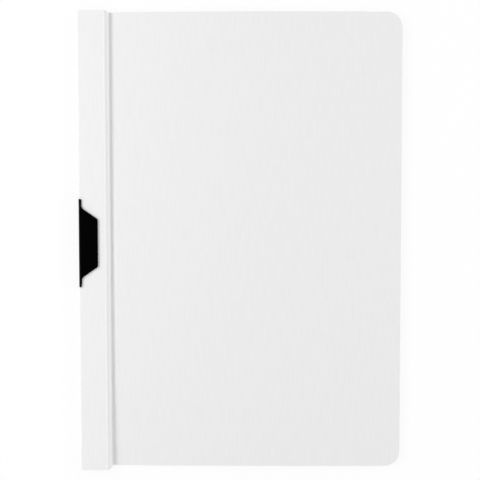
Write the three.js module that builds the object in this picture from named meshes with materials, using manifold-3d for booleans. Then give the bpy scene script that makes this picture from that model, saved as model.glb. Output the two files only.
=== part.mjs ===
// A4 clip folder, lying closed on its back cover.
// One plastic sheet is folded round the spine. It makes the back cover, the spine and the front
// spine strip. A second sheet is the front cover, hinged along the strip's inner edge.
// A sprung steel clip, bent to a U, grips both strips and swings out of the spine on a pivot block.
// Millimetres. +X runs from the spine to the fore edge, +Y to the head of the page, +Z up.
// The origin is under the middle of the folder, on the surface that it lies on.

import * as THREE from "three";
import { mergeVertices } from "three/addons/utils/BufferGeometryUtils.js";
import Module from "manifold-3d";

// Covers
const folderWidth = 219.1; // outside of the fold to the fore edge
const coverHeight = 310;
const coverCorner = 10.5; // radius of the two fore edge corners
const sheetThickness = 0.5;

// Spine strips, front and back
const stripWidth = 18.1; // outside of the fold to the ridge line
const slopeWidth = 2.3; // ridge line to the hinge line
const frontSlopeDrop = 2.2;
const backSlopeWidth = 2.1; // the back strip comes down to the back cover in this width
const headOverhang = 0.6; // how far the strips pass the covers at the head
const tailOverhang = 1.9; // and at the tail
const hingeCorner = 0.9; // radius of the strips' corners at the hinge line
const foldRadius = 1.5; // outside radius of the two bends at the fold
const paperGap = 4.5; // room for 45 sheets

// Front cover section
const hingeGap = 0.3; // open line between the strip and the cover
const grooveFloorWidth = 1.3;
const grooveWallWidth = 2.6;
const grooveDepth = 2.1; // below the strip's inner edge
const grooveRise = 0.9; // groove floor up to the start of the cover
const hingeWallRise = 1.0; // the groove's other wall, standing just under the strip's edge
const crownRise = 1.7; // the cover bows up this far over its own start
const foreEdgeRise = 0.8; // and keeps this much of it at the fore edge
const crownPlace = 0.52; // share of the cover's width at which the bow is highest

// Clip
const steelThickness = 0.7;
const clipLength = 60; // along the spine, over the round tab ends
const tabWidth = 1.65; // the narrow band along the spine, web included
const legReach = 13.0; // outside of the web to the leg's tip
const legBase = 48.0; // length of the leg where it leaves the tab band
const legTip = 32.3;
const legTipCorner = 1.0;
const legRootFillet = 2.6;
const clipBend = 1.0; // outside radius of the bends between web and legs
const webStub = 0.05; // what the cut-out beside the pivot leaves of the web on each tab
const clipClearance = 0.3; // between each leg and the strip it grips

// Window in the fold that the clip's web lies in
const windowEndGap = 0.4;
const windowSideGap = 0.3;

// Clip pivot: two pressed pips turn in sockets of a block held in the fold
const pipRadius = 0.4;
const pipHeight = 0.8;
const socketClearance = 0.2;
const webReliefGap = 0.75; // from the block's round nose to the cut end of the web
const blockBodyWidth = 2.5;
const blockReach = 6.0; // how far the block goes on inside the fold, past the window
const blockSeatGap = 0.3;

const cutPast = 1; // every cut reaches this far past what it cuts
const pivotSides = 24;
const arcSteps = 6;
const cornerSteps = 14;
const bowSteps = 26;

// Places that follow from the sizes
const stripLift = steelThickness + clipClearance; // the back strip clears the leg under it
const backStripTop = stripLift + sheetThickness;
const frontStripUnderside = backStripTop + paperGap;
const stripTop = frontStripUnderside + sheetThickness;
const hingeLine = stripWidth + slopeWidth;
const slopeEdgeTop = stripTop - frontSlopeDrop;
const clipHeight = stripTop + clipClearance + steelThickness;
const tabRadius = tabWidth / 2;
const pivotY = tabRadius - clipLength / 2;
const stripLength = coverHeight + headOverhang + tailOverhang;
const stripTail = -stripLength / 2; // the clip and the strips are centred on Y
const stripHead = stripLength / 2;
const coverTail = stripTail + tailOverhang;
const coverHead = stripHead - headOverhang;
const farBelow = -cutPast;
const farAbove = clipHeight + crownRise + cutPast;

const wasm = await Module();
wasm.setup();

function solidFrom(geometry) {
  const bare = geometry.clone();
  bare.deleteAttribute("normal");
  bare.deleteAttribute("uv");
  const merged = mergeVertices(bare, 1e-4);
  return new wasm.Manifold(
    new wasm.Mesh({
      numProp: 3,
      vertProperties: new Float32Array(merged.attributes.position.array),
      triVerts: new Uint32Array(merged.index.array),
    }),
  );
}

function geometryFrom(solid) {
  const mesh = solid.getMesh();
  const geometry = new THREE.BufferGeometry();
  geometry.setAttribute("position", new THREE.BufferAttribute(mesh.vertProperties, 3));
  geometry.setIndex(new THREE.BufferAttribute(mesh.triVerts, 1));
  geometry.computeVertexNormals();
  return geometry;
}

// A plan outline, seen from above, as a prism between two heights.
function planPrism(outline, low, high) {
  const geometry = new THREE.ExtrudeGeometry(outline, {
    depth: high - low,
    bevelEnabled: false,
    curveSegments: cornerSteps,
  });
  geometry.translate(0, 0, low);
  return solidFrom(geometry);
}

// A section in X and Z, run along Y between two places.
function sectionPrism(outline, tail, head) {
  const geometry = new THREE.ExtrudeGeometry(outline, {
    depth: head - tail,
    bevelEnabled: false,
    curveSegments: arcSteps,
  });
  geometry.rotateX(Math.PI / 2);
  geometry.translate(0, head, 0);
  return solidFrom(geometry);
}

// A rectangle with its own radius at each corner: tail left, tail right, head right, head left.
function roundedRectangle(left, right, tail, head, radii) {
  const [tailLeft, tailRight, headRight, headLeft] = radii;
  const shape = new THREE.Shape();
  shape.moveTo(left + tailLeft, tail);
  shape.lineTo(right - tailRight, tail);
  if (tailRight) shape.absarc(right - tailRight, tail + tailRight, tailRight, -Math.PI / 2, 0);
  shape.lineTo(right, head - headRight);
  if (headRight) shape.absarc(right - headRight, head - headRight, headRight, 0, Math.PI / 2);
  shape.lineTo(left + headLeft, head);
  if (headLeft) shape.absarc(left + headLeft, head - headLeft, headLeft, Math.PI / 2, Math.PI);
  shape.lineTo(left, tail + tailLeft);
  if (tailLeft) shape.absarc(left + tailLeft, tail + tailLeft, tailLeft, Math.PI, Math.PI * 1.5);
  return shape;
}

// A line of points thickened to one side, as a closed outline. The points are on the outer face.
function thickenedLine(points, thickness) {
  const inner = points.map((point, index) => {
    const before = points[Math.max(index - 1, 0)];
    const after = points[Math.min(index + 1, points.length - 1)];
    const arriving = new THREE.Vector2().subVectors(point, before);
    const leaving = new THREE.Vector2().subVectors(after, point);
    if (index === 0) arriving.copy(leaving);
    if (index === points.length - 1) leaving.copy(arriving);
    arriving.normalize();
    leaving.normalize();
    const along = arriving.clone().add(leaving).normalize();
    const mitre = thickness / along.dot(arriving);
    return new THREE.Vector2(point.x - along.y * mitre, point.y + along.x * mitre);
  });
  return new THREE.Shape([...points, ...inner.reverse()]);
}

function arcPoints(centreX, centreZ, radius, from, to) {
  return Array.from({ length: arcSteps + 1 }, (_, step) => {
    const angle = from + ((to - from) * step) / arcSteps;
    return new THREE.Vector2(centreX + radius * Math.cos(angle), centreZ + radius * Math.sin(angle));
  });
}

// The folded sheet. Its outer face runs from the front strip's inner edge over the ridge,
// round the fold, under the back strip and down to the back cover.
function backCoverSolid() {
  const slopeFall = frontSlopeDrop / slopeWidth;
  const outerFace = [
    new THREE.Vector2(hingeLine + cutPast, slopeEdgeTop - slopeFall * cutPast),
    new THREE.Vector2(stripWidth, stripTop),
    ...arcPoints(foldRadius, stripTop - foldRadius, foldRadius, Math.PI / 2, Math.PI),
    ...arcPoints(foldRadius, stripLift + foldRadius, foldRadius, Math.PI, Math.PI * 1.5),
    new THREE.Vector2(stripWidth, stripLift),
    new THREE.Vector2(stripWidth + backSlopeWidth, 0),
    new THREE.Vector2(folderWidth + cutPast, 0),
  ];
  const sheet = sectionPrism(
    thickenedLine(outerFace, sheetThickness),
    stripTail - cutPast,
    stripHead + cutPast,
  );
  const strips = planPrism(
    roundedRectangle(-cutPast, hingeLine, stripTail, stripHead, [0, hingeCorner, hingeCorner, 0]),
    farBelow,
    farAbove,
  );
  const cover = planPrism(
    roundedRectangle(stripWidth, folderWidth, coverTail, coverHead, [0, coverCorner, coverCorner, 0]),
    farBelow,
    backStripTop + sheetThickness,
  );
  const halfWindow = clipLength / 2 + windowEndGap;
  const window = planPrism(
    roundedRectangle(-cutPast, tabWidth + windowSideGap, -halfWindow, halfWindow, [0, 0, 0, 0]),
    farBelow,
    farAbove,
  );
  return sheet.intersect(strips.add(cover)).subtract(window);
}

// The front cover's upper face, from the fore edge: one long shallow bow, the groove's outer wall,
// its floor, and its inner wall under the strip's edge.
function frontCoverSolid() {
  const floorStart = hingeLine + hingeGap;
  const floorTop = slopeEdgeTop - grooveDepth;
  const coverStart = floorStart + grooveFloorWidth + grooveWallWidth;
  const coverStartTop = floorTop + grooveRise;
  const span = folderWidth - coverStart;
  const upperFace = [new THREE.Vector2(folderWidth + cutPast, coverStartTop + foreEdgeRise)];
  for (let step = bowSteps; step >= 0; step -= 1) {
    const share = step / bowSteps;
    const rising = Math.sin((Math.min(share / crownPlace, 1) * Math.PI) / 2);
    const falling = Math.max((share - crownPlace) / (1 - crownPlace), 0) ** 2;
    const bow = crownRise * rising - (crownRise - foreEdgeRise) * falling;
    upperFace.push(new THREE.Vector2(coverStart + span * share, coverStartTop + bow));
  }
  upperFace.push(new THREE.Vector2(floorStart + grooveFloorWidth, floorTop));
  upperFace.push(new THREE.Vector2(floorStart, floorTop));
  upperFace.push(new THREE.Vector2(floorStart, floorTop + hingeWallRise));
  const sheet = sectionPrism(
    thickenedLine(upperFace, sheetThickness),
    coverTail - cutPast,
    coverHead + cutPast,
  );
  const outline = planPrism(
    roundedRectangle(stripWidth, folderWidth, coverTail, coverHead, [0, coverCorner, coverCorner, 0]),
    farBelow,
    farAbove,
  );
  return sheet.intersect(outline);
}

// Both legs of the clip share this outline: the tab band with round ends, and the tapered leg.
function clipOutline() {
  const halfTab = clipLength / 2 - tabRadius;
  const halfBase = legBase / 2;
  const halfTip = legTip / 2;
  const slant = new THREE.Vector2(legReach - tabWidth, halfTip - halfBase).normalize();
  const root = { x: tabWidth + slant.x * legRootFillet, y: halfBase + slant.y * legRootFillet };
  const tip = { x: legReach - slant.x * legTipCorner, y: halfTip - slant.y * legTipCorner };
  const shape = new THREE.Shape();
  shape.moveTo(0, halfTab);
  shape.lineTo(0, -halfTab);
  shape.absarc(tabRadius, -halfTab, tabRadius, Math.PI, Math.PI * 2);
  shape.lineTo(tabWidth, -halfBase - legRootFillet);
  shape.quadraticCurveTo(tabWidth, -halfBase, root.x, -root.y);
  shape.lineTo(tip.x, -tip.y);
  shape.quadraticCurveTo(legReach, -halfTip, legReach, -halfTip + legTipCorner);
  shape.lineTo(legReach, halfTip - legTipCorner);
  shape.quadraticCurveTo(legReach, halfTip, tip.x, tip.y);
  shape.lineTo(root.x, root.y);
  shape.quadraticCurveTo(tabWidth, halfBase, tabWidth, halfBase + legRootFillet);
  shape.lineTo(tabWidth, halfTab);
  shape.absarc(tabRadius, halfTab, tabRadius, 0, Math.PI);
  return shape;
}

// A round pin on the clip's pivot axis.
function pivotCylinder(radius, low, high) {
  const geometry = new THREE.CylinderGeometry(radius, radius, high - low, pivotSides);
  geometry.rotateX(Math.PI / 2);
  geometry.translate(tabRadius, pivotY, (low + high) / 2);
  return solidFrom(geometry);
}

// The U section is bent from one strip of steel and has the outline of the legs. The web stops
// short of the pivot, and both tabs there carry a pip on their inner face.
function clipSolid() {
  const outerFace = [
    new THREE.Vector2(legReach + cutPast, clipHeight),
    ...arcPoints(clipBend, clipHeight - clipBend, clipBend, Math.PI / 2, Math.PI),
    ...arcPoints(clipBend, clipBend, clipBend, Math.PI, Math.PI * 1.5),
    new THREE.Vector2(legReach + cutPast, 0),
  ];
  const channel = sectionPrism(
    thickenedLine(outerFace, steelThickness),
    -clipLength / 2 - cutPast,
    clipLength / 2 + cutPast,
  );
  const upperTabUnderside = clipHeight - steelThickness;
  const webEnd = pivotY + tabRadius + webReliefGap;
  const relief = planPrism(
    roundedRectangle(-cutPast, tabWidth + windowSideGap, pivotY - tabWidth, webEnd, [0, 0, 0, 0]),
    steelThickness + webStub,
    upperTabUnderside - webStub,
  );
  const pips = [
    pivotCylinder(pipRadius, steelThickness / 2, steelThickness + pipHeight),
    pivotCylinder(pipRadius, upperTabUnderside - pipHeight, clipHeight - steelThickness / 2),
  ];
  const legs = channel.intersect(planPrism(clipOutline(), farBelow, farAbove)).subtract(relief);
  return pips.reduce((clip, pip) => clip.add(pip), legs);
}

// A moulded block held inside the fold at the tail end of the window. Its round nose stands in
// the window, between the clip's tabs, and has a socket for each pip.
function pivotBlockSolid() {
  const bodyLeft = sheetThickness + blockSeatGap;
  const bodyCorner = foldRadius - bodyLeft;
  const bodyTail = -clipLength / 2 - windowEndGap - blockReach;
  const noseHead = pivotY + tabRadius;
  const body = sectionPrism(
    roundedRectangle(
      bodyLeft,
      bodyLeft + blockBodyWidth,
      backStripTop + blockSeatGap,
      frontStripUnderside - blockSeatGap,
      [bodyCorner, 0, 0, bodyCorner],
    ),
    bodyTail,
    noseHead,
  );
  const nose = new THREE.Shape();
  nose.moveTo(tabWidth, noseHead);
  nose.lineTo(tabRadius, noseHead);
  nose.absarc(tabRadius, pivotY, tabRadius, Math.PI / 2, Math.PI * 1.5);
  nose.lineTo(tabWidth, pivotY - tabRadius);
  const noseBottom = steelThickness + clipClearance;
  const noseTop = clipHeight - steelThickness - clipClearance;
  const socketRadius = pipRadius + socketClearance;
  const socketDepth = pipHeight - clipClearance + socketClearance;
  return body
    .add(planPrism(nose, noseBottom, noseTop))
    .subtract(pivotCylinder(socketRadius, noseBottom - clipClearance, noseBottom + socketDepth))
    .subtract(pivotCylinder(socketRadius, noseTop - socketDepth, noseTop + clipClearance));
}

const whiteSheet = new THREE.MeshStandardMaterial({ color: 0xf0f0f0, roughness: 0.55, metalness: 0 });
const blackEnamel = new THREE.MeshStandardMaterial({ color: 0x0a0a0a, roughness: 0.4, metalness: 0 });
const whiteMoulding = new THREE.MeshStandardMaterial({ color: 0xeeeeee, roughness: 0.6, metalness: 0 });

function namedMesh(name, solid, material) {
  const mesh = new THREE.Mesh(geometryFrom(solid), material);
  mesh.name = name;
  return mesh;
}

const clipFolder = new THREE.Group();
clipFolder.name = "clip_folder";
clipFolder.position.x = -folderWidth / 2;
clipFolder.add(
  namedMesh("back_cover", backCoverSolid(), whiteSheet),
  namedMesh("front_cover", frontCoverSolid(), whiteSheet),
  namedMesh("clip", clipSolid(), blackEnamel),
  namedMesh("pivot_block", pivotBlockSolid(), whiteMoulding),
);

export default clipFolder;
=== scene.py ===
import math

import bmesh
import bpy
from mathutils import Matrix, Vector, geometry


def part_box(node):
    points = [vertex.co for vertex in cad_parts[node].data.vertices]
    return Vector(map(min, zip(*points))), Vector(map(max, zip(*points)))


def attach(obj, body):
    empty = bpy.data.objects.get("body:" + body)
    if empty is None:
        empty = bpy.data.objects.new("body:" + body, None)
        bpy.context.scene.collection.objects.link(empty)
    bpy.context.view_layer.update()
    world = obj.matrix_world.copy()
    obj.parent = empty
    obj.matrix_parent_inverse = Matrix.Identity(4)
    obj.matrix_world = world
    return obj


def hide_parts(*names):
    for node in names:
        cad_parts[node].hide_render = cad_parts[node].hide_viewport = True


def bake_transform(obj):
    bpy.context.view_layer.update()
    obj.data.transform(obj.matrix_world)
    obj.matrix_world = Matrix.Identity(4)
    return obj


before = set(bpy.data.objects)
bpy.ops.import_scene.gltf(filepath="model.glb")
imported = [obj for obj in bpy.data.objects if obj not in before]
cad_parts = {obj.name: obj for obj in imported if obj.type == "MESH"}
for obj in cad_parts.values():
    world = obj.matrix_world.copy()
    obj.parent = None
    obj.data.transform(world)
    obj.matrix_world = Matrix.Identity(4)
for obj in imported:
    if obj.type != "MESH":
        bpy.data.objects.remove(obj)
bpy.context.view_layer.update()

# Back sheet: one embossed PVC sheet, 0.5 mm thick. It is pressed along heated creases into the
# back cover, the raised back strip, the round spine fold and the front strip, whose inner edge
# slopes down to the hinge. A window is punched through the fold for the clip.
MM = 0.001
back_low, back_high = (Vector(corner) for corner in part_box("back_cover"))
front_low, front_high = (Vector(corner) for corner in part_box("front_cover"))
clip_low, clip_high = (Vector(corner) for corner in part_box("clip"))
fold_x = back_low.x
sheet_thickness = 0.5 * MM
strip_width = 18.1 * MM
slope_width = 2.3 * MM
slope_drop = 2.2 * MM
ridge_x = fold_x + strip_width
hinge_x = ridge_x + slope_width
strip_top = back_high.z
slope_edge_z = strip_top - slope_drop
back_strip_z = 1.0 * MM
back_slope_width = 2.1 * MM
fold_radius = 0.8 * MM
ridge_radius = 1.0 * MM
lip_depth = 0.45 * MM
lip_radius = 0.3 * MM
crease_radius = 0.6 * MM
plan_step = 0.05 * MM
hinge_corner = 0.9 * MM
tail_corner = 1.7 * MM
cover_corner = 10.5 * MM
window_half_length = clip_high.y + 0.4 * MM
window_side = 1.95 * MM
fine_row = 4.0 * MM
edge_rounding = 0.09 * MM
sharp_edge = math.radians(55)
row_clearance = 0.6 * MM
same_place = 1e-7


def bent_line(corners, radii, bend_steps=7, longest=4.0 * MM):
    """Points (x, z) along a line of corners, each with a round bend of its radius."""
    points = [Vector(corners[0])]
    for before, corner, after, radius in zip(corners, corners[1:], corners[2:], radii):
        before, corner, after = Vector(before), Vector(corner), Vector(after)
        arriving = (corner - before).normalized()
        leaving = (after - corner).normalized()
        turn = math.acos(max(-1.0, min(1.0, arriving.dot(leaving))))
        cut = radius * math.tan(turn / 2)
        start = corner - arriving * cut
        side = Vector((-arriving.y, arriving.x))
        if side.dot(leaving) < 0:
            side.negate()
        centre = start + side * radius
        for step in range(bend_steps + 1):
            angle = turn * step / bend_steps
            points.append(centre - side * radius * math.cos(angle) + arriving * radius * math.sin(angle))
    points.append(Vector(corners[-1]))
    line = [points[0]]
    for point in points[1:]:
        gap = (point - line[-1]).length
        if gap < same_place:
            continue
        pieces = max(1, math.ceil(gap / longest))
        start = line[-1].copy()
        line += [start.lerp(point, (step + 1) / pieces) for step in range(pieces)]
    return line


def distances_along(line):
    """How far along a line each of its points lies, from its first point."""
    distances = [0.0]
    for before, after in zip(line, line[1:]):
        distances.append(distances[-1] + (after - before).length)
    return distances


def flat_lift(x, y):
    return 0.0


def folded_sheet(name, line, low_end, high_end, rows, thickness, hole=None, outward=1, lift=flat_lift):
    """A flat blank, cut to its outline and folded along line, which gives its outer face.

    low_end and high_end give the blank's ends along Y at a point (x, z) of the line. hole is
    (distance along the line from, to, y from, to). lift raises the sheet at a place (x, y).
    The sheet's thickness goes inward.
    """
    along = distances_along(line)
    lows = [low_end(*point) for point in line]
    highs = [high_end(*point) for point in line]
    rim = [(s, low) for s, low in zip(along, lows)]
    rim += [(along[-1], row) for row in rows if lows[-1] < row < highs[-1]]
    rim += [(s, high) for s, high in reversed(list(zip(along, highs)))]
    rim += [(along[0], row) for row in reversed(rows) if lows[0] < row < highs[0]]
    margin = 0.25 * MM
    inside = [
        (s, row)
        for s, low, high in list(zip(along, lows, highs))[1:-1]
        for row in rows
        if low + margin < row < high - margin
    ]
    points = [Vector(point) for point in rim + inside]
    rim_edges = [(index, (index + 1) % len(rim)) for index in range(len(rim))]
    cut = geometry.delaunay_2d_cdt(points, rim_edges, [list(range(len(rim)))], 1, same_place)
    flat, faces = cut[0], cut[2]
    if hole:
        s_from, s_to, y_from, y_to = hole

        def outside_hole(face):
            middle = sum((flat[index] for index in face), Vector((0, 0))) / len(face)
            return not (s_from < middle.x < s_to and y_from < middle.y < y_to)

        faces = [face for face in faces if outside_hole(face)]
    mesh = bmesh.new()
    uv_layer = mesh.loops.layers.uv.new("sheet")
    vertices = []
    slack = 1e-9
    last_span = len(along) - 2
    for s, y in flat:
        position = next(
            (
                index
                for index in range(last_span + 1)
                if along[index] - slack <= s <= along[index + 1] + slack
            ),
            last_span,
        )
        share = (s - along[position]) / (along[position + 1] - along[position])
        place = line[position].lerp(line[position + 1], max(0.0, min(1.0, share)))
        vertices.append(mesh.verts.new((place.x, y, place.y + lift(place.x, y))))
    for face in faces:
        order = face if outward > 0 else face[::-1]
        made = mesh.faces.new([vertices[index] for index in order])
        made.smooth = True
        for loop, index in zip(made.loops, order):
            loop[uv_layer].uv = flat[index]
    loose = [vertex for vertex in mesh.verts if not vertex.link_faces]
    bmesh.ops.delete(mesh, geom=loose, context="VERTS")
    data = bpy.data.meshes.new(name)
    mesh.to_mesh(data)
    mesh.free()
    piece = bpy.data.objects.new(name, data)
    bpy.context.scene.collection.objects.link(piece)
    solid = piece.modifiers.new("thickness", "SOLIDIFY")
    solid.thickness = thickness
    solid.offset = -1
    solid.use_even_offset = True
    rounding = piece.modifiers.new("cut edges", "BEVEL")
    rounding.width = edge_rounding
    rounding.segments = 2
    rounding.limit_method = "ANGLE"
    rounding.angle_limit = sharp_edge
    rounding.harden_normals = False
    normals = piece.modifiers.new("even shading", "WEIGHTED_NORMAL")
    normals.keep_sharp = True
    return piece


def rows_between(low, high, extra=()):
    """Even rows along Y, with further ones at the places in extra."""
    count = math.ceil((high - low) / fine_row)
    even = [low + (high - low) * step / count for step in range(1, count)]
    kept = [row for row in even if all(abs(row - place) > row_clearance for place in extra)]
    return sorted(kept + [place for place in extra if low < place < high])


def sheet_end(nominal, centre, radius, side):
    """How far a cover reaches at x, when its corner of that radius has its centre at centre."""

    def end(x):
        past = min(max(x - centre, 0.0), radius)
        return nominal - side * (radius - math.sqrt(radius * radius - past * past))

    return end


strip_tail, strip_head = back_low.y, back_high.y
cover_tail, cover_head = front_low.y, front_high.y
corner_centre = back_high.x - cover_corner
cover_low_end = sheet_end(cover_tail, corner_centre, cover_corner, -1)
cover_high_end = sheet_end(cover_head, corner_centre, cover_corner, 1)
strip_low_end = sheet_end(strip_tail, hinge_x - hinge_corner, hinge_corner, -1)
strip_high_end = sheet_end(strip_head, hinge_x - hinge_corner, hinge_corner, 1)


def back_low_end(x, z):
    if x > hinge_x:
        return cover_low_end(x)
    from_corner = min(max(fold_x + tail_corner - x, 0.0), tail_corner)
    return strip_low_end(x) + tail_corner - math.sqrt(tail_corner**2 - from_corner**2)


def back_high_end(x, z):
    return strip_high_end(x) if x <= hinge_x else cover_high_end(x)


def corner_stations(centre, radius, count=12):
    """Places in x that follow a round corner evenly."""
    return [centre + radius * math.sin(math.pi / 2 * step / count) for step in range(count + 1)]


window_x = fold_x + window_side
# The outline steps from the strip's ends to the cover's within plan_step.
back_line = bent_line(
    [
        (hinge_x + plan_step, slope_edge_z - lip_depth),
        (hinge_x, slope_edge_z),
        (ridge_x, strip_top),
        (window_x, strip_top),
        (fold_x, strip_top),
        (fold_x, back_strip_z),
        (window_x, back_strip_z),
        (ridge_x, back_strip_z),
        (ridge_x + back_slope_width, 0.0),
        (hinge_x, 0.0),
        (hinge_x + plan_step, 0.0),
        (corner_centre, 0.0),
        (back_high.x, 0.0),
    ],
    [
        lip_radius,
        ridge_radius,
        0,
        fold_radius,
        fold_radius,
        0,
        crease_radius,
        crease_radius,
        0,
        0,
        0,
    ],
)
back_line = [point for point in back_line if point.x <= corner_centre or point.y > sheet_thickness]
back_line += [Vector((x, 0.0)) for x in corner_stations(corner_centre, cover_corner)[1:]]
window_ends = (-window_half_length, window_half_length)
window_stations = [
    index for index, point in enumerate(back_line) if abs(point.x - window_x) < 10 * same_place
]
back_lengths = distances_along(back_line)
back_sheet = folded_sheet(
    "back_sheet",
    back_line,
    back_low_end,
    back_high_end,
    rows_between(strip_tail, strip_head, window_ends + (cover_tail, cover_head)),
    sheet_thickness,
    hole=(back_lengths[window_stations[0]], back_lengths[window_stations[-1]], *window_ends),
    outward=-1,
)


def linear(hex_colour):
    """An sRGB hex colour as linear RGBA."""
    channels = [int(hex_colour[index : index + 2], 16) / 255 for index in (1, 3, 5)]
    return [c / 12.92 if c <= 0.04045 else ((c + 0.055) / 1.055) ** 2.4 for c in channels] + [1.0]


def add_node(tree, kind, settings=(), links=()):
    """Adds a node. settings are (name or socket, value), links are (socket, output)."""
    node = tree.nodes.new(kind)
    for name, value in settings:
        if isinstance(name, str) and hasattr(node, name):
            setattr(node, name, value)
        else:
            node.inputs[name].default_value = value
    for socket, output in links:
        tree.links.new(output, node.inputs[socket])
    return node


def new_material(name):
    """An empty material, and its output node."""
    material = bpy.data.materials.new(name)
    material.use_nodes = True
    material.node_tree.nodes.clear()
    return material, material.node_tree.nodes.new("ShaderNodeOutputMaterial")


# White PVC, calendered and embossed with a linen grain: fine threads both ways, and stronger
# slubs that run with the spine. It is satin, and its grain shows only as faint streaks.
def embossed_pvc(name, colour, slub_colour, creases=()):
    """creases are distances across the sheet where a painted highlight runs along a fold."""
    material, output = new_material(name)
    tree = material.node_tree
    painted_highlight_width = 0.9 * MM
    thread_spacing = 0.45 * MM
    slub_width = 1.5 * MM
    slub_length = 14 * MM
    wave_repeat = 0.314  # bands of scale 1 repeat at this distance, in metres
    place = add_node(tree, "ShaderNodeUVMap", [("uv_map", "sheet")])
    slub_place = add_node(
        tree,
        "ShaderNodeMapping",
        [("Scale", (1 / slub_width, 1 / slub_length, 1))],
        [("Vector", place.outputs["UV"])],
    )
    slubs = add_node(
        tree,
        "ShaderNodeTexNoise",
        [("Scale", 1.0), ("Detail", 2.0), ("Roughness", 0.55)],
        [("Vector", slub_place.outputs["Vector"])],
    )
    warp = add_node(
        tree,
        "ShaderNodeTexWave",
        [
            ("wave_type", "BANDS"),
            ("bands_direction", "X"),
            ("Scale", wave_repeat / thread_spacing),
            ("Distortion", 1.2),
            ("Detail", 1.0),
        ],
        [("Vector", place.outputs["UV"])],
    )
    weft = add_node(
        tree,
        "ShaderNodeTexWave",
        [
            ("wave_type", "BANDS"),
            ("bands_direction", "Y"),
            ("Scale", wave_repeat / thread_spacing),
            ("Distortion", 1.2),
            ("Detail", 1.0),
        ],
        [("Vector", place.outputs["UV"])],
    )
    weave = add_node(
        tree,
        "ShaderNodeMix",
        [("data_type", "FLOAT"), (0, 0.35)],
        [(2, warp.outputs["Fac"]), (3, weft.outputs["Fac"])],
    )
    tint = add_node(
        tree,
        "ShaderNodeMix",
        [("data_type", "RGBA"), (6, linear(colour)), (7, linear(slub_colour))],
        [(0, slubs.outputs["Fac"])],
    )
    across = add_node(tree, "ShaderNodeSeparateXYZ", [], [(0, place.outputs["UV"])])
    face_colour = tint.outputs[2]
    # Each crease is lightened towards #fdfdfd: a painted highlight along the fold.
    for crease in creases:
        from_crease = add_node(
            tree,
            "ShaderNodeMath",
            [("operation", "SUBTRACT"), (1, crease)],
            [(0, across.outputs["X"])],
        )
        distance = add_node(
            tree,
            "ShaderNodeMath",
            [("operation", "ABSOLUTE")],
            [(0, from_crease.outputs[0])],
        )
        painted_highlight_share = add_node(
            tree,
            "ShaderNodeMapRange",
            [
                ("interpolation_type", "SMOOTHSTEP"),
                ("From Max", painted_highlight_width),
                ("To Min", 0.8),
                ("To Max", 0.0),
            ],
            [("Value", distance.outputs[0])],
        )
        painted_highlight = add_node(
            tree,
            "ShaderNodeMix",
            [("data_type", "RGBA"), (7, linear("#fdfdfd"))],
            [(0, painted_highlight_share.outputs[0]), (6, face_colour)],
        )
        face_colour = painted_highlight.outputs[2]
    thread_bump = add_node(
        tree,
        "ShaderNodeBump",
        [("Strength", 0.6), ("Distance", 0.03 * MM)],
        [("Height", weave.outputs[0])],
    )
    slub_bump = add_node(
        tree,
        "ShaderNodeBump",
        [("Strength", 0.8), ("Distance", 0.05 * MM)],
        [("Height", slubs.outputs["Fac"]), ("Normal", thread_bump.outputs["Normal"])],
    )
    shader = add_node(
        tree,
        "ShaderNodeBsdfPrincipled",
        [("Roughness", 0.5), ("IOR", 1.5), ("Specular IOR Level", 0.4)],
        [("Base Color", face_colour), ("Normal", slub_bump.outputs["Normal"])],
    )
    tree.links.new(shader.outputs["BSDF"], output.inputs["Surface"])
    return material


def distance_on_strip(x):
    """How far across the back sheet the front strip's point nearest to x lies."""
    strip_points = range(window_stations[0])
    return back_lengths[min(strip_points, key=lambda index: abs(back_line[index].x - x))]


# Painted highlights run along the strip's edge at the hinge and along its ridge.
creases_with_painted_highlight = (distance_on_strip(hinge_x), distance_on_strip(ridge_x))
back_sheet.data.materials.append(
    embossed_pvc("embossed white PVC", "#f3f3f3", "#ececec", creases_with_painted_highlight)
)
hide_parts("back_cover")
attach(back_sheet, "back")

# Front cover: a second sheet of the same embossed PVC. Its edge is welded under the front strip,
# and a groove pressed into it beside the strip is its hinge. Past the groove it bows up a little.
weld_width = 1.9 * MM
weld_foot = 0.35 * MM
hinge_gap = 0.3 * MM
groove_depth = 2.1 * MM
groove_floor_width = 1.3 * MM
groove_wall_width = 2.6 * MM
groove_rise = 0.9 * MM
crown_rise = 1.7 * MM
fore_edge_rise = 0.8 * MM
crown_place = 0.52
groove_bend = 0.45 * MM
groove_shoulder = 3.0 * MM
tail_sag = 0.4 * MM
tail_floor_sag = 1.0 * MM
head_sag = 0.45 * MM
sag_start = -10.0 * MM
head_lift = 0.9 * MM
floor_z = slope_edge_z - groove_depth
cover_start = hinge_x + hinge_gap + groove_floor_width + groove_wall_width
cover_start_z = floor_z + groove_rise
cover_span = front_high.x - cover_start
bow_start = cover_start + 2 * MM
bow_row = 4.0 * MM


def bow(x):
    """How high the cover stands over its own start at x."""
    share = min(max((x - cover_start) / cover_span, 0.0), 1.0)
    rising = math.sin(min(share / crown_place, 1.0) * math.pi / 2)
    falling = max((share - crown_place) / (1 - crown_place), 0.0) ** 2
    return crown_rise * rising - (crown_rise - fore_edge_rise) * falling


def cover_lift(x, y):
    """The cover leans a little: it stands higher at the head, and sinks with its groove to the tail.

    Its fore edge stays level.
    """
    past_step = min(max((x - hinge_x + weld_foot) / (weld_foot + hinge_gap), 0.0), 1.0)
    past_groove = min(max((x - cover_start + groove_wall_width) / groove_wall_width, 0.0), 1.0)
    onto_cover = min(max((x - cover_start) / (cover_span / 2), 0.0), 1.0)
    to_tail = min(max((sag_start - y) / (sag_start - cover_tail), 0.0), 1.0)
    to_head = min(max((y - sag_start) / (cover_head - sag_start), 0.0), 1.0)
    sag = (tail_sag * to_tail + head_sag * min(2 * to_head, 1.0)) * past_groove
    sag += tail_floor_sag * to_tail**2 * past_step
    short_of_edge = 1 - min(max((x - cover_start) / cover_span, 0.0), 1.0) ** 2
    return (head_lift * to_head * math.sin(onto_cover * math.pi / 2) - sag) * short_of_edge


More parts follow.
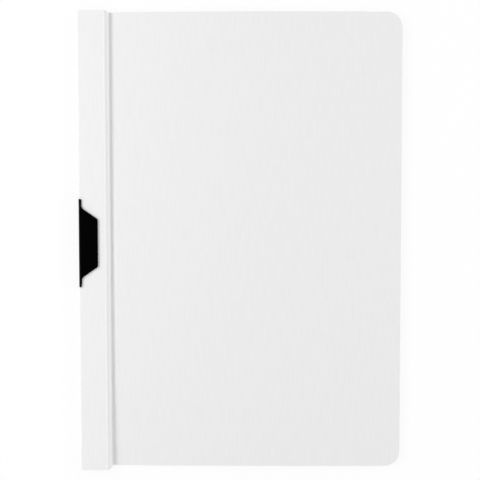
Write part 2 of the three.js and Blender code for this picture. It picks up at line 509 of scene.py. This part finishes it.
slope_fall = slope_drop / slope_width
weld_gap = 0.02 * MM
weld_drop = (sheet_thickness + weld_gap) * math.sqrt(1 + slope_fall * slope_fall)
weld_end_z = slope_edge_z - weld_drop + slope_fall * weld_width
front_line = bent_line(
    [
        (hinge_x - weld_width, weld_end_z),
        (hinge_x - weld_foot, slope_edge_z - weld_drop + slope_fall * weld_foot),
        (hinge_x + hinge_gap, floor_z),
        (hinge_x + hinge_gap + groove_floor_width, floor_z),
        (cover_start, cover_start_z),
        (bow_start, cover_start_z + bow(bow_start)),
    ],
    [groove_bend, groove_bend, groove_bend, groove_shoulder],
)
bow_steps = math.ceil((corner_centre - bow_start) / bow_row)
bow_places = [
    bow_start + (corner_centre - bow_start) * step / bow_steps for step in range(1, bow_steps)
]
bow_places += corner_stations(front_high.x - cover_corner, cover_corner)
front_line += [Vector((x, cover_start_z + bow(x))) for x in bow_places]
front_sheet = folded_sheet(
    "front_sheet",
    front_line,
    lambda x, z: cover_low_end(x),
    lambda x, z: cover_high_end(x),
    rows_between(cover_tail, cover_head),
    sheet_thickness,
    lift=cover_lift,
)
# The cover's copy of the PVC is a little darker than the back sheet's: painted shade.
front_sheet.data.materials.append(
    embossed_pvc("embossed white PVC, cover, painted shade", "#f1f1f1", "#eaeaea")
)
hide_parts("front_cover")
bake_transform(front_sheet)

# Clip: one blank of spring steel, 0.7 mm thick, stamped with two tapered legs, bent to a U and
# stove enamelled black. The enamel is smooth and rounds the stamped edges a little.
steel_thickness = 0.7 * MM
clip_bend = 1.0 * MM
tab_width = 1.65 * MM
tab_radius = tab_width / 2
leg_base_half = 24.0 * MM
leg_tip_half = 16.15 * MM
leg_tip_corner = 1.0 * MM
leg_root_fillet = 2.6 * MM
web_relief_gap = 0.75 * MM
web_outside = clip_low.x
leg_tip_x = clip_high.x
tab_inside = web_outside + tab_width
tab_centre_y = clip_high.y - tab_radius
web_tail = -tab_centre_y + tab_radius + web_relief_gap
slant = (leg_tip_half - leg_base_half) / (leg_tip_x - tab_inside)


def rounded_corner(first, corner, last, share):
    """A quadratic curve from first to last, drawn toward corner."""
    return (1 - share) ** 2 * first + 2 * share * (1 - share) * corner + share**2 * last


def leg_reach(x):
    """Half of the clip's length at x, from the round tab ends in to the leg's tip."""
    past_web = x - web_outside
    if past_web < tab_width:
        from_middle = past_web - tab_radius
        return tab_centre_y + math.sqrt(max(tab_radius**2 - from_middle**2, 0.0))
    run = math.cos(math.atan(slant))
    if x < tab_inside + leg_root_fillet * run:
        share = (x - tab_inside) / (leg_root_fillet * run)
        along = math.sqrt(share)
        root_end = leg_base_half + slant * leg_root_fillet * run
        return rounded_corner(leg_base_half + leg_root_fillet, leg_base_half, root_end, along)
    tip_start = leg_tip_x - leg_tip_corner * run
    if x > tip_start:
        share = (x - tip_start) / (leg_tip_x - tip_start)
        along = 1 - math.sqrt(1 - min(share, 1.0))
        tip_from = leg_tip_half - slant * leg_tip_corner * run
        return rounded_corner(tip_from, leg_tip_half, leg_tip_half - leg_tip_corner, along)
    return leg_base_half + slant * (x - tab_inside)


def clip_high_end(x, z):
    return leg_reach(x)


def clip_low_end(x, z):
    in_web = clip_low.z + steel_thickness < z < clip_high.z - steel_thickness
    return web_tail if in_web else -leg_reach(x)


even_steps = 6
corner_steps = 8
straight_start = tab_inside + 2.4 * MM
straight_length = leg_tip_x - tab_inside - 4.0 * MM
leg_places = [
    web_outside + clip_bend + (tab_width - clip_bend) * step / even_steps
    for step in range(even_steps + 1)
]
leg_places += [
    tab_inside + leg_root_fillet * (step / corner_steps) ** 2 for step in range(1, corner_steps + 1)
]
leg_places += [
    straight_start + straight_length * step / even_steps for step in range(even_steps + 1)
]
leg_places += [
    leg_tip_x - leg_tip_corner * (1 - (step / corner_steps) ** 0.5) ** 2
    for step in range(corner_steps + 1)
]
leg_places = sorted(set(leg_places))
clip_line = bent_line(
    [
        (leg_tip_x, clip_high.z),
        *[(x, clip_high.z) for x in reversed(leg_places[1:-1])],
        (web_outside, clip_high.z),
        (web_outside, clip_low.z),
        *[(x, clip_low.z) for x in leg_places[1:-1]],
        (leg_tip_x, clip_low.z),
    ],
    [0] * (len(leg_places) - 2) + [clip_bend, clip_bend] + [0] * (len(leg_places) - 2),
    bend_steps=10,
)
tab_row = 0.5 * MM
tab_row_count = 13
tab_rows = [leg_base_half - tab_row + tab_row * step for step in range(tab_row_count)]
clip_piece = folded_sheet(
    "spring_clip",
    clip_line,
    clip_low_end,
    clip_high_end,
    rows_between(-clip_high.y, clip_high.y, [*tab_rows, *[-row for row in tab_rows]]),
    steel_thickness,
    outward=-1,
)


def black_enamel(name, colour):
    """A smooth coat. Its index is lower than an enamel's usual 1.5, so that its face stays black."""
    material, output = new_material(name)
    tree = material.node_tree
    orange_peel = 1.2 * MM
    place = add_node(tree, "ShaderNodeTexCoord")
    flow = add_node(
        tree,
        "ShaderNodeTexNoise",
        [("Scale", 1 / orange_peel), ("Detail", 1.0)],
        [("Vector", place.outputs["Object"])],
    )
    ripple = add_node(
        tree,
        "ShaderNodeBump",
        [("Strength", 0.15), ("Distance", 0.02 * MM)],
        [("Height", flow.outputs["Fac"])],
    )
    shader = add_node(
        tree,
        "ShaderNodeBsdfPrincipled",
        [
            ("Base Color", linear(colour)),
            ("Roughness", 0.2),
            ("IOR", 1.3),
            ("Specular IOR Level", 0.3),
        ],
        [("Normal", ripple.outputs["Normal"])],
    )
    tree.links.new(shader.outputs["BSDF"], output.inputs["Surface"])
    return material


clip_piece.data.materials.append(black_enamel("black stove enamel", "#010101"))
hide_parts("clip")
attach(clip_piece, "clip")


# Pivot block: a small white moulding of ABS, held inside the fold. The clip's pips turn in it.
# As moulded, it has a fine spark-eroded grain.
def moulded_abs(name, colour):
    material, output = new_material(name)
    tree = material.node_tree
    grain = 0.2 * MM
    place = add_node(tree, "ShaderNodeTexCoord")
    pits = add_node(
        tree,
        "ShaderNodeTexNoise",
        [("Scale", 1 / grain), ("Detail", 2.0)],
        [("Vector", place.outputs["Object"])],
    )
    grain_bump = add_node(
        tree,
        "ShaderNodeBump",
        [("Strength", 0.3), ("Distance", 0.02 * MM)],
        [("Height", pits.outputs["Fac"])],
    )
    shader = add_node(
        tree,
        "ShaderNodeBsdfPrincipled",
        [("Base Color", linear(colour)), ("Roughness", 0.5)],
        [("Normal", grain_bump.outputs["Normal"])],
    )
    tree.links.new(shader.outputs["BSDF"], output.inputs["Surface"])
    return material


pivot_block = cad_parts["pivot_block"]
pivot_block.data.materials.clear()
pivot_block.data.materials.append(moulded_abs("white moulded ABS", "#ececec"))

# Table: a plain white sheet under the folder. Seen straight by the camera it is nearly pure
# white, but it keeps part of the folder's soft shadow.
table_half = 1.5
table_below = 0.02 * MM
glow_seen = 0.88
table_mesh = bpy.data.meshes.new("table")
table_mesh.from_pydata(
    [
        (-table_half, -table_half, 0),
        (table_half, -table_half, 0),
        (table_half, table_half, 0),
        (-table_half, table_half, 0),
    ],
    [],
    [(0, 1, 2, 3)],
)
table = bpy.data.objects.new("table", table_mesh)
table.location.z = -table_below
bpy.context.scene.collection.objects.link(table)
table_material, table_output = new_material("white table")
table_tree = table_material.node_tree
table_paper = add_node(table_tree, "ShaderNodeBsdfDiffuse", [("Color", linear("#fafafa"))])
table_glow = add_node(
    table_tree, "ShaderNodeEmission", [("Color", linear("#ffffff")), ("Strength", 1.0)]
)
seen = add_node(table_tree, "ShaderNodeLightPath")
glow_share = add_node(
    table_tree,
    "ShaderNodeMath",
    [("operation", "MULTIPLY"), (1, glow_seen)],
    [(0, seen.outputs["Is Camera Ray"])],
)
table_mix = add_node(
    table_tree,
    "ShaderNodeMixShader",
    [],
    [(0, glow_share.outputs[0]), (1, table_paper.outputs[0]), (2, table_glow.outputs[0])],
)
table_tree.links.new(table_mix.outputs[0], table_output.inputs["Surface"])
table_mesh.materials.append(table_material)

# Light: two long soft boxes, a stronger one to the left and a weaker one to the right, and a
# bright surround. It is dark overhead, where the camera hangs, which keeps the enamel black.
scene = bpy.context.scene
scene.view_settings.view_transform = "Standard"


def strip_box(name, place, width, length, power):
    """A soft box, width across and length along Y, turned to face the folder."""
    data = bpy.data.lights.new(name, "AREA")
    data.shape = "RECTANGLE"
    data.size = width
    data.size_y = length
    data.energy = power
    lamp = bpy.data.objects.new(name, data)
    lamp.location = place
    lamp.rotation_euler = (0.0, math.atan2(place[0], place[2]), 0.0)
    scene.collection.objects.link(lamp)


strip_box("left soft box", (-0.85, 0.15, 0.62), 0.35, 0.8, 4.9)
strip_box("right soft box", (0.95, 0.1, 0.55), 0.25, 1.2, 3.5)

surround = bpy.data.worlds.new("surround")
surround.use_nodes = True
surround.node_tree.nodes.clear()
sky_tree = surround.node_tree
direction = add_node(sky_tree, "ShaderNodeTexCoord")
height = add_node(sky_tree, "ShaderNodeSeparateXYZ", [], [(0, direction.outputs["Generated"])])
overhead = add_node(
    sky_tree,
    "ShaderNodeMapRange",
    [
        ("interpolation_type", "SMOOTHSTEP"),
        ("From Min", 0.85),
        ("From Max", 0.98),
        ("To Min", 0.76),
        ("To Max", 0.04),
    ],
    [("Value", height.outputs["Z"])],
)
sky_seen = add_node(sky_tree, "ShaderNodeLightPath")
sky_strength = add_node(
    sky_tree,
    "ShaderNodeMix",
    [("data_type", "FLOAT"), (3, 1.0)],
    [(0, sky_seen.outputs["Is Camera Ray"]), (2, overhead.outputs[0])],
)
sky = add_node(
    sky_tree,
    "ShaderNodeBackground",
    [("Color", linear("#ffffff"))],
    [("Strength", sky_strength.outputs[0])],
)
add_node(sky_tree, "ShaderNodeOutputWorld", [], [("Surface", sky.outputs[0])])
scene.world = surround

# Camera: half a metre over the folder, a little towards its head, looking almost straight down.
camera_place = Vector((-0.28, 21.7, 500.0)) * MM
camera_turn = [math.radians(angle) for angle in (-2.293, -0.007, -0.062)]
picture_width = 480
focal_pixels = 728.0
camera_data = bpy.data.cameras.new("camera")
camera_data.sensor_width = 36.0
camera_data.lens = camera_data.sensor_width * focal_pixels / picture_width
camera_data.clip_start = 0.01
camera = bpy.data.objects.new("camera", camera_data)
camera.location = camera_place
camera.rotation_euler = camera_turn
scene.collection.objects.link(camera)
scene.camera = camera

bpy.context.view_layer.update()
